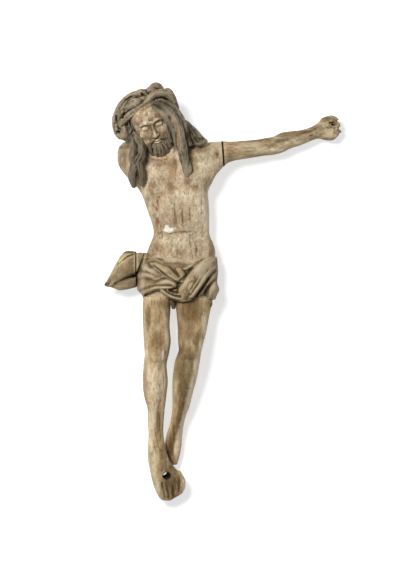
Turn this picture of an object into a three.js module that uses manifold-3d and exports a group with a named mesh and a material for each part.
// Carved wooden corpus from a crucifix, lying on its back: a head bowed under a plaited wreath of
// thorns, a bare torso, a knotted loincloth and crossed legs. The right arm is lost, the left arm is
// a carving of its own that meets the shoulder in an open joint, and the flying end of the loincloth
// is glued on at the right hip. +X is the figure's left, +Y is towards its head and +Z is up, from
// its back to its chest. Lengths are millimetres.
import * as THREE from "three";
import { LoftGeometry } from "three/addons/geometries/LoftGeometry.js";
import { mergeVertices } from "three/addons/utils/BufferGeometryUtils.js";
import Module from "manifold-3d";

const wasm = await Module();
wasm.setup();

const figureLength = 750; // crown of the wreath to the broken toes
const nailHoleDiameter = 14; // through the right foot
const palmHoleDiameter = 15; // the hollow of the hand
const palmHoleDepth = 10;
const shoulderJointGap = 1.8; // the open joint of the left arm
const clothJointGap = 0.5; // the glue line of the loincloth's flying end

// Pose and carving are written in hundredths of the figure's length, from the toes (y = 0), the
// middle of the waist (x = 0) and the surface it lies on (z = 0).
const hundredth = figureLength / 100;

const torsoRows = [
  // y, x, half width, back, front
  [48.5, -0.2, 7.9, 0.0, 9.0],
  [52.3, 0.0, 7.9, -0.4, 9.4],
  [56.1, 0.2, 8.1, -0.4, 9.3],
  [59.2, 0.4, 8.2, 0.0, 8.8],
  [61.1, 0.5, 7.7, 0.7, 8.5],
  [63.7, 0.5, 6.7, 1.3, 8.3],
  [66.1, 0.3, 6.8, 1.1, 8.8],
  [69.0, -0.2, 7.3, 0.4, 9.7],
  [71.8, -0.75, 7.65, -0.2, 10.3],
  [74.7, -1.25, 8.0, -0.5, 10.4],
  [78.0, -1.2, 7.9, -0.5, 10.1],
  [81.4, -1.1, 7.0, -0.3, 9.3],
  [83.8, -1.4, 5.3, 0.4, 8.4],
  [85.4, -1.9, 3.3, 1.2, 7.6],
];
const leftShoulderRows = [
  // x, y, half height, back, front
  [0.0, 79.7, 6.0, 0.5, 9.2],
  [3.6, 79.2, 6.4, 0.5, 9.3],
  [6.0, 79.7, 5.9, 1.0, 9.2],
  [7.6, 80.8, 5.0, 1.6, 8.8],
  [9.1, 82.15, 3.8, 2.2, 8.2],
  [11.0, 83.15, 2.8, 2.8, 7.8],
];
const rightShoulderRows = [
  // x, y, half height, back, front
  [-15.8, 82.6, 2.9, 2.2, 8.4],
  [-13.8, 82.2, 3.5, 2.0, 8.6],
  [-12.2, 81.5, 4.4, 1.6, 8.9],
  [-10.3, 80.6, 5.4, 1.2, 9.2],
  [-8.1, 79.5, 6.2, 0.8, 9.3],
  [-5.3, 79.1, 6.6, 0.5, 9.3],
  [-1.9, 79.7, 6.0, 0.5, 9.2],
];
const rightLegRows = [
  // y, x, half width, back, front: thigh, knee, calf, ankle, and the foot without its toes
  [0.0, -3.1, 1.0, 3.1, 4.0],
  [0.7, -3.0, 1.8, 2.8, 4.4],
  [1.9, -2.4, 3.1, 2.7, 4.9],
  [3.6, -2.4, 3.8, 2.6, 5.5],
  [5.5, -3.0, 3.7, 2.5, 6.3],
  [7.9, -4.1, 3.1, 2.4, 7.2],
  [10.3, -5.1, 2.5, 2.6, 7.5],
  [12.7, -5.4, 2.2, 3.2, 7.3],
  [15.5, -5.6, 1.8, 3.5, 7.2],
  [18.9, -5.7, 1.9, 3.5, 7.6],
  [22.2, -5.6, 2.1, 3.3, 8.2],
  [25.3, -5.8, 2.7, 2.9, 8.9],
  [28.9, -5.8, 3.0, 2.9, 9.5],
  [32.5, -5.8, 2.8, 4.0, 9.8],
  [35.3, -5.4, 2.9, 4.2, 10.5],
  [38.4, -5.3, 3.2, 3.3, 10.0],
  [41.8, -5.5, 3.2, 2.3, 9.6],
  [45.1, -5.5, 3.3, 1.6, 9.4],
  [48.9, -5.3, 3.4, 1.0, 9.2],
];
const leftLegRows = [
  // y, x, half width, back, front: down to the break behind the right ankle
  [8.6, -1.4, 0.8, 0.5, 2.9],
  [10.3, -1.6, 1.5, -0.2, 3.5],
  [12.7, -1.6, 2.0, -0.3, 3.9],
  [15.8, -1.2, 1.9, 0.1, 4.2],
  [19.3, -0.4, 1.7, 0.6, 5.0],
  [22.9, 0.4, 2.1, 0.9, 6.2],
  [26.5, 0.85, 2.55, 1.2, 7.5],
  [30.1, 1.35, 2.95, 2.0, 8.5],
  [33.7, 1.95, 2.95, 3.3, 9.5],
  [36.0, 2.55, 2.75, 3.5, 10.0],
  [38.4, 2.75, 3.15, 2.8, 9.7],
  [42.0, 3.1, 3.6, 1.8, 9.3],
  [45.6, 3.3, 4.1, 1.2, 9.1],
  [48.9, 3.5, 4.6, 1.0, 9.2],
];
const armRows = [
  // x, y, half height, back, front: shoulder joint, elbow, wrist, palm
  [9.6, 82.75, 3.3, 2.7, 8.0],
  [10.5, 82.95, 3.1, 2.8, 7.8],
  [11.5, 83.35, 2.6, 2.9, 7.6],
  [13.1, 83.65, 2.3, 3.0, 7.3],
  [15.5, 83.95, 2.2, 3.0, 7.1],
  [17.9, 84.25, 2.1, 2.9, 6.9],
  [20.3, 84.65, 2.1, 2.7, 6.7],
  [22.4, 84.95, 2.2, 2.5, 6.5],
  [24.6, 85.75, 2.4, 2.3, 6.1],
  [26.5, 86.35, 2.1, 2.2, 5.8],
  [28.6, 86.8, 1.85, 2.1, 5.4],
  [30.6, 87.45, 1.7, 2.0, 5.0],
  [32.0, 88.05, 1.7, 1.9, 4.7],
  [33.2, 88.65, 2.0, 1.7, 4.7],
  [34.6, 89.05, 2.7, 1.5, 4.6],
  [36.0, 89.15, 2.9, 1.4, 4.4],
  [37.2, 89.15, 2.5, 1.4, 4.2],
  [38.1, 88.95, 1.5, 1.7, 3.9],
];
const clothRows = [
  // y, x, half width, back, front
  [47.6, -0.3, 8.6, 0.4, 9.3],
  [49.2, 0.0, 8.9, -0.2, 9.8],
  [50.6, -0.3, 9.8, -0.3, 10.0],
  [52.4, -0.5, 9.5, -0.5, 10.1],
  [54.6, -0.4, 9.6, -0.6, 10.0],
  [56.8, 0.0, 9.1, -0.5, 9.6],
  [58.5, 0.4, 8.6, -0.2, 9.2],
];
// The strip of cloth that bunches out at the right hip and carries the flying end.
const bunchRows = [
  // x, y, half height, back, front
  [-11.4, 56.9, 2.6, 3.4, 7.6],
  [-10.0, 57.0, 2.4, 3.2, 8.0],
  [-8.6, 57.5, 1.9, 2.8, 8.2],
  [-6.5, 57.6, 1.5, 3.0, 7.6],
];
const endUpperRows = [
  // x, y, half height, back, front: the large lobe, down to the pointed tip
  [-18.0, 51.7, 0.2, 5.2, 5.7],
  [-16.9, 52.3, 1.2, 4.7, 6.2],
  [-16.0, 53.3, 1.9, 4.2, 6.9],
  [-15.0, 54.6, 2.5, 3.8, 7.6],
  [-14.1, 55.6, 3.0, 3.6, 8.1],
  [-12.9, 56.5, 3.2, 3.4, 8.5],
  [-11.7, 56.8, 3.0, 3.4, 8.4],
  [-9.6, 56.9, 2.6, 3.4, 7.8],
];
const endLowerRows = [
  // x, y, half height, back, front: the lobe that curls back under it
  [-17.2, 51.7, 0.4, 4.6, 5.6],
  [-15.9, 51.85, 0.9, 3.8, 6.1],
  [-14.4, 51.9, 1.5, 3.2, 6.4],
  [-12.9, 52.1, 1.6, 2.9, 6.5],
  [-11.7, 52.3, 1.5, 2.9, 6.3],
  [-10.0, 52.5, 1.3, 3.0, 6.0],
];

// Folds carved on the loincloth: x, y and height of their crest over the cloth, and half their width.
const folds = [
  { run: [[-9.0, 57.2, 0.3], [-7.2, 57.6, 0.7], [-5.0, 57.3, 0.7], [-3.0, 56.4, 0.4]], half: 0.9 },
  { run: [[-4.7, 57.7, 0.2], [-1.8, 57.7, 0.5], [1.0, 57.2, 0.5], [3.2, 56.6, 0.4]], half: 0.9 },
  { run: [[-7.0, 56.8, 0.4], [-5.2, 55.9, 1.0], [-3.2, 54.5, 1.4], [-1.0, 52.9, 1.6], [0.2, 52.5, 1.2]],
    half: 1.4 },
  { run: [[0.0, 55.0, 0.6], [0.5, 54.1, 1.3], [0.8, 53.0, 1.1]], half: 1.0 },
  { run: [[8.6, 57.6, 0.6], [7.1, 56.9, 1.4], [5.3, 55.2, 2.1], [3.5, 53.4, 2.4], [2.2, 51.6, 2.4],
    [1.4, 50.0, 1.7]], half: 2.1 },
  { run: [[9.2, 54.6, 0.4], [7.7, 52.8, 1.0], [6.0, 50.8, 1.3], [4.2, 48.8, 1.0]], half: 1.2 },
  { run: [[9.4, 52.4, 0.6], [8.6, 50.7, 1.1], [7.9, 49.2, 0.9]], half: 1.2 },
  { run: [[-9.4, 56.0, 0.4], [-8.0, 55.6, 0.7], [-6.6, 54.8, 0.6], [-5.2, 53.8, 0.3]], half: 0.9 },
  { run: [[-9.8, 53.6, 0.6], [-8.2, 54.0, 0.7], [-6.4, 53.6, 0.6], [-4.8, 52.7, 0.3]], half: 0.9 },
  { run: [[-9.9, 51.2, 0.6], [-8.4, 51.7, 0.6], [-6.8, 51.8, 0.4]], half: 1.0 },
  { run: [[-5.6, 51.6, 0.3], [-3.9, 52.3, 0.9], [-2.4, 52.4, 1.3], [-1.2, 51.9, 1.1]], half: 0.9 },
  { run: [[-8.6, 49.6, 0.5], [-7.2, 50.2, 0.8], [-5.6, 50.8, 1.0], [-3.8, 50.9, 1.1], [-2.0, 50.9, 1.0]],
    half: 0.8 },
  { run: [[-4.2, 50.4, 0.7], [-2.8, 49.4, 1.1], [-0.8, 48.6, 1.2], [1.4, 48.3, 1.2], [3.6, 48.7, 0.9]],
    half: 0.8 },
];
// What hangs from the cloth or stands on it as a thin edge: x, y, z of the run, and its half width.
const edges = [
  { run: [[8.6, 55.4, 8.8], [6.6, 53.2, 10.7], [4.6, 50.8, 11.5], [2.9, 48.5, 10.4]], half: 0.55 },
  { run: [[8.2, 49.8, 7.4], [7.9, 48.0, 7.6], [7.7, 46.3, 7.5]], half: 0.6 },
  { run: [[-1.6, 49.6, 8.4], [-1.5, 47.8, 8.2], [-1.4, 46.1, 7.4]], half: 0.65 },
];

// Ribs and muscles on the torso, kneecaps and shins on the legs, written as the folds are. The run is
// the uppermost left rib's; each next rib lies lower and starts further out.
const ribEnd = 7.0;
const ribRun = [[2.9, 75.2, 0.2], [4.9, 76.2, 0.4], [ribEnd, 75.0, 0.3]];
const ribCount = 5;
const ribSpacing = 2.3;
const ribFlare = 0.55;
const ribHalf = 0.95;
const chestMiddle = -0.7;
const ribs = [];
for (const side of [-1, 1]) {
  for (let i = 0; i < ribCount; i++) {
    const run = ribRun.map(([x, y, height]) => [
      chestMiddle + side * Math.min(x + ribFlare * i, ribEnd), y - ribSpacing * i, height,
    ]);
    ribs.push({ run, half: ribHalf });
  }
}
const muscles = [
  { run: [[-7.0, 78.9, 0.4], [-4.6, 78.2, 0.8], [-2.6, 78.0, 0.5]], half: 2.0 },
  { run: [[5.0, 78.9, 0.4], [2.8, 78.2, 0.8], [0.8, 78.0, 0.5]], half: 2.0 },
  { run: [[-4.4, 65.4, 0.2], [-3.4, 70.2, 0.45], [-1.2, 73.6, 0.4]], half: 0.9 },
  { run: [[4.2, 65.4, 0.2], [2.6, 70.2, 0.45], [-0.4, 73.6, 0.4]], half: 0.9 },
  { run: [[-1.6, 61.2, 0.3], [0.3, 61.8, 0.5], [2.2, 61.2, 0.3]], half: 2.4 },
];
const bones = [
  { run: [[-5.3, 36.0, 0.7], [-5.3, 34.6, 0.7]], half: 1.7 },
  { run: [[2.7, 37.0, 0.7], [2.6, 35.8, 0.7]], half: 1.7 },
  { run: [[-5.6, 33.0, 0.2], [-5.6, 27.0, 0.4], [-5.7, 20.0, 0.4], [-5.6, 15.0, 0.2]], half: 1.0 },
  { run: [[2.1, 33.6, 0.2], [1.2, 27.0, 0.4], [0.2, 21.0, 0.4], [-0.9, 16.0, 0.2]], half: 1.0 },
];

// Head: place of its middle, how far it leans to its right and how far it is bowed, in degrees.
const headPlace = [-7.1, 91.2, 8.7];
const headLean = 20;
const headBow = 24;
const headRows = [
  // height in the head, half width, middle of the depth, half depth: chin to skull
  [-7.6, 1.0, 3.3, 0.7],
  [-7.0, 1.9, 2.9, 1.4],
  [-5.6, 2.9, 1.9, 2.7],
  [-3.6, 3.8, 0.8, 3.9],
  [-1.6, 4.3, 0.1, 4.7],
  [0.4, 4.6, -0.4, 5.2],
  [2.4, 4.7, -0.6, 5.5],
  [4.2, 4.1, -0.8, 4.9],
  [5.4, 2.9, -0.9, 3.6],
  [6.1, 1.2, -1.0, 1.6],
];
const neck = { run: [[-3.4, 82.6, 5.2], [-4.6, 85.6, 6.0], [-6.6, 89.4, 7.4]], half: 3.3 };
// Features and beard in the head's own directions: left, top, forward.
const features = [
  { run: [[0, 0.9, 4.6], [0, -0.6, 5.1], [0, -2.1, 5.7]], half: 0.62 },
  { run: [[-2.9, 0.9, 3.9], [-1.6, 1.3, 4.7], [-0.4, 0.9, 4.9]], half: 0.45 },
  { run: [[2.9, 0.9, 3.9], [1.6, 1.3, 4.7], [0.4, 0.9, 4.9]], half: 0.45 },
  { run: [[-2.6, -0.2, 4.0], [-1.7, -0.2, 4.5], [-0.9, -0.3, 4.5]], half: 0.55 },
  { run: [[2.6, -0.2, 4.0], [1.7, -0.2, 4.5], [0.9, -0.3, 4.5]], half: 0.55 },
  { run: [[-0.3, -3.1, 4.9], [-1.5, -3.7, 4.5], [-2.2, -5.0, 3.7]], half: 0.5 },
  { run: [[0.3, -3.1, 4.9], [1.5, -3.7, 4.5], [2.2, -5.0, 3.7]], half: 0.5 },
];
const beardLocks = [-2.4, -1.2, 0, 1.2, 2.4].map((side) => ({
  run: [
    [side * 1.25, -4.6 + Math.abs(side) * 0.4, 4.3 - Math.abs(side) * 0.55],
    [side * 0.95, -6.6 + Math.abs(side) * 0.3, 4.3 - Math.abs(side) * 0.4],
    [side * 0.5 + Math.sign(side) * 0.25, -8.6 + Math.abs(side) * 0.5, 4.0 - Math.abs(side) * 0.25],
  ],
  half: 0.95,
}));

// Locks of hair: x, y, z of their run, and their half width.
const locks = [
  { run: [[-11.6, 89.4, 9.4], [-10.8, 85.8, 10.4], [-10.6, 82.0, 11.1], [-10.9, 78.4, 10.8],
    [-10.6, 75.0, 9.4]], half: 1.2 },
  { run: [[-10.2, 89.0, 10.2], [-9.2, 85.2, 11.2], [-9.0, 81.6, 11.4], [-9.3, 78.2, 11.0],
    [-8.9, 75.2, 9.6]], half: 1.2 },
  { run: [[-10.6, 87.6, 10.8], [-9.6, 84.8, 11.6], [-8.8, 82.4, 11.6]], half: 0.75 },
  { run: [[-6.4, 96.0, 11.8], [-2.4, 93.2, 12.6], [-0.6, 89.6, 12.4], [0.4, 85.6, 11.6], [1.2, 81.4, 10.9],
    [1.9, 77.3, 10.1]], half: 1.25 },
  { run: [[-7.4, 95.2, 12.6], [-4.2, 92.4, 13.2], [-2.3, 89.6, 12.9], [-1.2, 86.8, 12.1], [-0.6, 84.0, 11.1]],
    half: 1.1 },
  { run: [[-5.4, 96.2, 10.4], [-1.4, 93.2, 11.4], [0.8, 89.8, 11.0], [1.8, 86.8, 10.4], [2.8, 84.6, 9.8]],
    half: 1.2 },
  { run: [[-3.4, 95.2, 9.4], [-0.4, 91.8, 9.9], [1.8, 89.0, 9.8], [3.6, 86.6, 9.5], [6.4, 85.8, 8.7]],
    half: 1.2 },
  { run: [[-3.0, 93.9, 8.4], [-0.2, 90.9, 8.8], [2.2, 88.5, 8.8], [4.1, 86.6, 8.6], [6.0, 85.9, 8.2]],
    half: 1.2 },
  { run: [[-2.2, 92.2, 6.6], [0.5, 89.4, 7.2], [2.7, 87.0, 7.6], [4.8, 85.7, 7.4]], half: 1.4 },
  { run: [[-3.0, 91.4, 4.6], [-0.4, 88.4, 4.8], [2.0, 85.6, 5.0]], half: 1.9 },
  { run: [[-9.4, 91.0, 4.8], [-8.6, 87.4, 4.4], [-7.0, 84.4, 4.4]], half: 1.9 },
  { run: [[-11.0, 94.4, 8.8], [-11.8, 91.2, 8.4], [-11.4, 87.6, 8.2], [-10.6, 84.4, 8.6]], half: 1.9 },
];

// Wreath of thorns: x, y, z and thickness of a ring that runs over the hair above the forehead and
// down to the nape.
const wreathRows = [
  [-14.0, 87.9, 6.6, 1.5],
  [-14.7, 90.9, 8.2, 1.7],
  [-13.6, 94.0, 9.8, 2.1],
  [-11.0, 96.2, 11.4, 2.3],
  [-7.9, 97.3, 12.2, 2.0],
  [-4.8, 98.0, 11.8, 1.8],
  [-2.2, 96.9, 10.4, 1.6],
  [-0.7, 94.8, 8.6, 1.4],
  [-0.1, 92.3, 6.6, 1.3],
  [-2.0, 89.2, 4.2, 1.4],
  [-5.8, 86.9, 3.0, 1.6],
  [-10.4, 86.4, 4.0, 1.6],
];
const strandCount = 3;
const strandTwists = 4;
const strandUnevenness = 0.12;
const strandKnots = 5; // thick places on each strand

// Hand: curled and broken fingers round the palm, x, y, z.
const fingers = [
  { run: [[33.0, 90.5, 3.2], [34.6, 91.7, 3.6], [36.4, 91.9, 3.8], [37.9, 91.3, 3.9]], half: 0.55 },
  { run: [[37.0, 91.0, 3.6], [38.0, 90.3, 4.1], [38.1, 89.0, 4.3]], half: 0.75 },
  { run: [[36.6, 88.6, 3.2], [37.8, 88.4, 3.6], [38.3, 88.4, 3.9]], half: 0.65 },
  { run: [[33.2, 87.0, 3.0], [35.0, 86.6, 3.6], [36.8, 86.7, 4.1], [37.5, 87.3, 4.4]], half: 0.7 },
];
const palmHolePlace = [36.3, 89.65];
const footHolePlace = [-3.1, 6.0];
const toes = [
  { run: [[-4.9, 4.6, 4.6], [-4.0, 2.2, 4.1], [-3.5, 0.6, 3.6]], half: 0.6 },
  { run: [[-3.6, 4.4, 5.2], [-3.0, 2.0, 4.5], [-2.7, 0.5, 3.9]], half: 0.6 },
  { run: [[-2.1, 4.4, 5.3], [-1.9, 2.4, 4.7], [-1.9, 1.0, 4.1]], half: 0.6 },
  { run: [[-0.4, 6.6, 5.0], [0.3, 4.6, 4.7], [0.3, 3.0, 4.3]], half: 1.0 },
];

// Joint faces: a point on the plane and the direction that it faces, away from the corpus.
const shoulderJoint = { place: [10.45, 82.9, 5.2], facing: [0.997, 0.072, 0] };
const stumpFace = { place: [-14.7, 82.0, 2.6], facing: [-0.838, 0, 0.546] };
const clothJoint = { place: [-10.4, 56.0, 5.0], facing: [-1, 0, 0] };

const up = new THREE.Vector3(0, 0, 1);
const place = ([x, y, z]) => new THREE.Vector3(x, y, z).multiplyScalar(hundredth);
const rounded = (value, power) => Math.sign(value) * Math.abs(value) ** power;

// A row of a table at a share of the way through it, on a smooth curve through all rows.
function rowAt(rows, share) {
  const spot = Math.min(share * (rows.length - 1), rows.length - 1 - 1e-6);
  const before = Math.floor(spot);
  const f = spot - before;
  const row = (k) => rows[Math.min(Math.max(before + k, 0), rows.length - 1)];
  return rows[0].map((_, c) => {
    const [a, b, d, e] = [row(-1)[c], row(0)[c], row(1)[c], row(2)[c]];
    return b + 0.5 * f * (d - a + f * (2 * a - 5 * b + 4 * d - e + f * (3 * (b - d) + e - a)));
  });
}

// A closed geometry as a solid, with its faces pointing out.
function solid(geometry) {
  const bare = new THREE.BufferGeometry().copy(geometry);
  bare.deleteAttribute("normal");
  bare.deleteAttribute("uv");
  const merged = mergeVertices(bare, 1e-3);
  const corners = [0, 1, 2].map(() => new THREE.Vector3());
  const triVerts = new Uint32Array(merged.index.array);
  let volume = 0;
  for (let i = 0; i < triVerts.length; i += 3) {
    corners.forEach((corner, k) => corner.fromBufferAttribute(merged.attributes.position, triVerts[i + k]));
    volume += corners[0].dot(corners[1].clone().cross(corners[2]));
  }
  if (volume < 0) triVerts.reverse();
  return new wasm.Manifold(
    new wasm.Mesh({ numProp: 3, vertProperties: merged.attributes.position.array, triVerts }),
  );
}

// How far carved items stand out of the limb that carries them, at x, y.
function reliefAt(items, x, y) {
  let relief = 0;
  for (const { run, half } of items) {
    for (let i = 1; i < run.length; i++) {
      const [startX, startY, startHeight] = run[i - 1];
      const [endX, endY, endHeight] = run[i];
      const [stepX, stepY] = [endX - startX, endY - startY];
      const share = ((x - startX) * stepX + (y - startY) * stepY) / (stepX ** 2 + stepY ** 2);
      const near = Math.min(Math.max(share, 0), 1);
      const distance = Math.hypot(x - startX - near * stepX, y - startY - near * stepY);
      const height = startHeight + near * (endHeight - startHeight);
      relief = Math.max(relief, height * (1 - (distance / half) ** 2));
    }
  }
  return relief;
}

// Limb: sections across the X or the Y axis, as wide and deep as the rows say, with items carved on
// its front. "front" and "back" are how many corners of a section lie on each.
function limb(rows, options) {
  const { lengthwise, front, back, sections, fullness, items } = {
    lengthwise: "y", front: 7, back: 7, fullness: 0.85, items: [], ...options,
  };
  const rings = [];
  for (let i = 0; i <= sections; i++) {
    const [along, middle, half, low, high] = rowAt(rows, i / sections);
    const ring = [];
    for (let j = 0; j < front + back; j++) {
      const angle = j < front ? (j / front) * Math.PI : (1 + (j - front) / back) * Math.PI;
      const across = middle + half * rounded(Math.cos(angle), fullness);
      const height = (low + high) / 2 + ((high - low) / 2) * rounded(Math.sin(angle), fullness);
      const relief = j < front ? reliefAt(items, across, along) : 0;
      const [side, top] = [across + relief * Math.cos(angle), height + relief * Math.sin(angle)];
      ring.push(place(lengthwise === "y" ? [side, along, top] : [along, side, top]));
    }
    if (lengthwise === "y") ring.reverse();
    rings.push(ring);
  }
  return solid(new LoftGeometry(rings, { capStart: true, capEnd: true }));
}

const blunt = 0.06; // share of a roll's length at each end that doesn't taper
const swellingPower = 0.6; // below 1 a roll keeps its width nearly to its ends

// A roll of wood along a run of points: a lock, a toe, a finger or the neck. It is round, or flattened
// towards "out", and tapers towards both ends, down to the share "ends" of its half width.
function roll(points, half, { sides, steps, ends, flat = 1, out = up }) {
  const curve = new THREE.CatmullRomCurve3(points, false, "centripetal");
  const rings = [];
  for (let i = 0; i <= steps; i++) {
    const share = i / steps;
    const centre = curve.getPoint(share);
    const along = curve.getTangent(share);
    const outwards = out.clone().addScaledVector(along, -along.dot(out)).normalize();
    const across = outwards.clone().cross(along);
    const swelling = Math.sin(Math.PI * Math.min(Math.max(share, blunt), 1 - blunt)) ** swellingPower;
    const size = half * (ends + (1 - ends) * swelling);
    const ring = [];
    for (let j = 0; j < sides; j++) {
      const angle = (j / sides) * 2 * Math.PI;
      ring.push(
        centre.clone()
          .addScaledVector(across, size * Math.cos(angle))
          .addScaledVector(outwards, size * flat * Math.sin(angle)),
      );
    }
    rings.push(ring);
  }
  return solid(new LoftGeometry(rings, { capStart: true, capEnd: true }));
}

const rollOf = ({ run, half }, options) => roll(run.map(place), half * hundredth, options);

const together = (solids) => solids.reduce((whole, next) => whole.add(next));

// The half space behind a joint face, or beyond it, as a block far larger than the figure.
function sideOf({ place: spot, facing }, beyond, gap = 0) {
  const size = 3 * figureLength;
  const block = new THREE.BoxGeometry(size, size, size);
  block.translate(0, 0, (beyond ? 1 : -1) * (size / 2 + gap / 2));
  const ahead = new THREE.Vector3(...facing).normalize();
  block.applyQuaternion(new THREE.Quaternion().setFromUnitVectors(up, ahead));
  block.translate(...place(spot).toArray());
  return solid(block);
}

// Directions of the bowed head: its own left, its top and its face.
const [leanAngle, bowAngle] = [headLean, headBow].map(THREE.MathUtils.degToRad);
const headLeft = new THREE.Vector3(1, 0, 0).applyAxisAngle(up, leanAngle);
const headTop = new THREE.Vector3(0, 1, 0).applyAxisAngle(up, leanAngle).applyAxisAngle(headLeft, bowAngle);
const headFace = headLeft.clone().cross(headTop);
const inHead = ([left, top, forward]) =>
  place(headPlace)
    .addScaledVector(headLeft, left * hundredth)
    .addScaledVector(headTop, top * hundredth)
    .addScaledVector(headFace, forward * hundredth);

function head() {
  const sides = 13;
  const sections = 9;
  const fullness = 0.9;
  const rings = [];
  for (let i = 0; i <= sections; i++) {
    const [top, half, middle, depth] = rowAt(headRows, i / sections);
    const ring = [];
    for (let j = 0; j < sides; j++) {
      const angle = (j / sides) * 2 * Math.PI;
      const left = -half * rounded(Math.cos(angle), fullness);
      ring.push(inHead([left, top, middle + depth * Math.sin(angle)]));
    }
    rings.push(ring);
  }
  const carved = [...features, ...beardLocks].map(({ run, half }) =>
    roll(run.map(inHead), half * hundredth, { sides: 5, steps: 3, out: headFace, flat: 0.9, ends: 0.6 }));
  return together([
    solid(new LoftGeometry(rings, { capStart: true, capEnd: true })),
    rollOf(neck, { sides: 12, steps: 3, ends: 0.9 }),
    ...carved,
  ]);
}

function hair() {
  return together(locks.map((lock) => rollOf(lock, { sides: 6, steps: 5, flat: 0.8, ends: 0.45 })));
}

// The wreath's section is the outline of its strands, which turn round each other along the ring.
// Its corners turn with the strands, so that each strand keeps its crest and its groove.
function wreath() {
  const cornersPerStrand = 4;
  const steps = 38;
  const corners = strandCount * cornersPerStrand;
  const ring = new THREE.CatmullRomCurve3(wreathRows.map(place), true);
  const thickness = new THREE.CatmullRomCurve3(wreathRows.map(([, , , size]) => place([size, 0, 0])), true);
  const inside = new THREE.Box3().setFromPoints(ring.points).getCenter(new THREE.Vector3());
  // Each strand is as thick as half of the wreath, and its middle is as far from the wreath's.
  const reachOf = (angle) => (Math.cos(angle) + Math.sqrt(Math.max(1 - Math.sin(angle) ** 2, 0))) / 2;
  const rings = [];
  for (let i = 0; i <= steps; i++) {
    const share = (i % steps) / steps;
    const middle = ring.getPoint(share);
    const along = ring.getTangent(share);
    const outwards = middle.clone().sub(inside);
    outwards.addScaledVector(along, -along.dot(outwards)).normalize();
    const upwards = along.clone().cross(outwards);
    const section = [];
    for (let j = 0; j < corners; j++) {
      const strand = Math.floor(j / cornersPerStrand);
      const fromCrest = (((j % cornersPerStrand) - cornersPerStrand / 2) / corners) * 2 * Math.PI;
      const turn = (j / corners + strandTwists * share) * 2 * Math.PI;
      const knot = strandKnots * share + strand / strandCount;
      const uneven = 1 + strandUnevenness * Math.sin(2 * Math.PI * knot);
      const reach = reachOf(fromCrest) * uneven * thickness.getPoint(share).x;
      section.push(
        middle.clone()
          .addScaledVector(outwards, reach * Math.cos(turn))
          .addScaledVector(upwards, reach * Math.sin(turn)),
      );
    }
    rings.push(section);
  }
  return solid(new LoftGeometry(rings));
}

// A round bore along Z through x, y, from a height in millimetres up through the front.
function bore([x, y], diameter, from) {
  const corners = 16;
  const length = figureLength;
  const drill = new THREE.CylinderGeometry(diameter / 2, diameter / 2, length, corners);
  drill.rotateX(Math.PI / 2);
  drill.translate(x * hundredth, y * hundredth, from + length / 2);
  return solid(drill);
}

const ground = { place: [0, 0, 0], facing: [0, 0, 1] };

function corpus() {
  const torso = { front: 16, back: 6, sections: 21, fullness: 0.8, items: [...ribs, ...muscles] };
  const cloth = { front: 22, back: 5, sections: 13, fullness: 0.8, items: folds };
  return together([
    limb(torsoRows, torso),
    limb(clothRows, cloth),
    limb(bunchRows, { lengthwise: "x", front: 5, back: 5, sections: 4 })
      .intersect(sideOf(clothJoint, false, clothJointGap)),
    limb(leftShoulderRows, { lengthwise: "x", sections: 7 })
      .intersect(sideOf(shoulderJoint, false, shoulderJointGap)),
    limb(rightShoulderRows, { lengthwise: "x", sections: 8 }).intersect(sideOf(stumpFace, false)),
    limb(rightLegRows, { back: 6, sections: 18, items: bones }),
    limb(leftLegRows, { back: 6, sections: 15, items: bones }),
    ...[...toes, ...edges].map((item) => rollOf(item, { sides: 6, steps: 4, ends: 0.5 })),
    head(),
    hair(),
    wreath(),
  ])
    .intersect(sideOf(ground, true))
    .subtract(bore(footHolePlace, nailHoleDiameter, 0));
}

function leftArm() {
  const palmHeight = armRows.find(([x]) => x > palmHolePlace[0])[4] * hundredth;
  return together([
    limb(armRows, { lengthwise: "x", back: 6, sections: 18 }),
    ...fingers.map((finger) => rollOf(finger, { sides: 6, steps: 4, ends: 0.6 })),
  ])
    .intersect(sideOf(shoulderJoint, true, shoulderJointGap))
    .subtract(bore(palmHolePlace, palmHoleDiameter, palmHeight - palmHoleDepth));
}

function loinclothEnd() {
  return together([
    limb(endUpperRows, { lengthwise: "x", front: 6, back: 6, sections: 10 }),
    limb(endLowerRows, { lengthwise: "x", front: 5, back: 5, sections: 7 }),
  ]).intersect(sideOf(clothJoint, true, clothJointGap));
}

// A named mesh of a solid, in its own finish.
function piece(name, made, colour, roughness) {
  const mesh = made.getMesh();
  const corners = new Float32Array(mesh.numVert * 3);
  for (let i = 0; i < mesh.numVert; i++) {
    corners.set(mesh.vertProperties.subarray(i * mesh.numProp, i * mesh.numProp + 3), i * 3);
  }
  const geometry = new THREE.BufferGeometry();
  geometry.setAttribute("position", new THREE.BufferAttribute(corners, 3));
  geometry.setIndex(new THREE.BufferAttribute(mesh.triVerts, 1));
  geometry.computeVertexNormals();
  const finish = new THREE.MeshStandardMaterial({ color: colour, roughness, metalness: 0 });
  const part = new THREE.Mesh(geometry, finish);
  part.name = name;
  return part;
}

const figure = new THREE.Group();
figure.add(
  piece("corpus", corpus(), 0xb5a183, 0.62),
  piece("left_arm", leftArm(), 0xa8946f, 0.62),
  piece("loincloth_end", loinclothEnd(), 0x8f8262, 0.7),
);

// The origin is under the middle of the figure, on the surface it lies on.
const bounds = new THREE.Box3().setFromObject(figure);
const middle = bounds.getCenter(new THREE.Vector3());
for (const part of figure.children) part.geometry.translate(-middle.x, -middle.y, -bounds.min.z);

export default figure;
